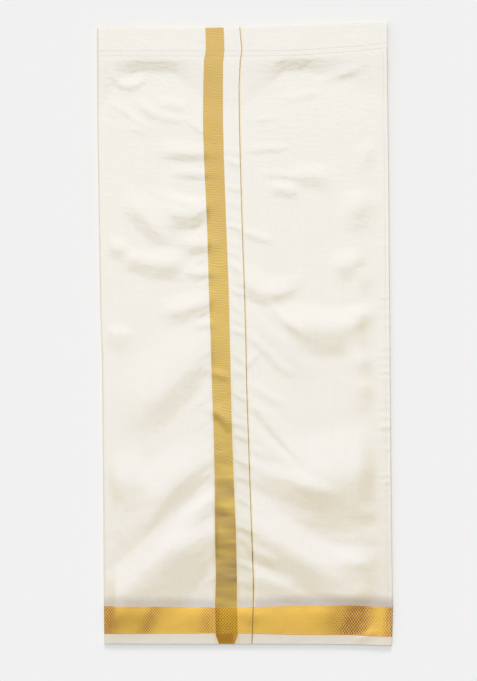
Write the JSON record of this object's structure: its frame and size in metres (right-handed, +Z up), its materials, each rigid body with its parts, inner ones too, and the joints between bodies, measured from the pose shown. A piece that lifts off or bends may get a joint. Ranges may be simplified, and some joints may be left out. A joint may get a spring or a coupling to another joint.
{
  "type": "dhoti cloth",
  "caption": "Ready-to-wear wrapped dhoti of cream art silk with woven gold bands, a turned waist casing and a stitched side hem, laid flat.",
  "frame": {"origin": "centre of the underside of the garment's box, on the surface that it lies on", "axes": "+Y towards the waist, +X towards the hemmed free edge, +Z up from the surface"},
  "size_m": [0.4881, 1.0276, 0.0117],
  "materials": {
    "silk": "cream art silk in a fine plain weave with a soft satin sheen, gold zari bands woven in"
  },
  "bodies": {
    "root": {"outer_wrap": "silk", "side_hem": "silk", "back_panel": "silk", "under_wrap": "silk", "waist_casing_front": "silk", "waist_casing_back": "silk", "waist_casing_under": "silk"}
  },
  "joints": []
}
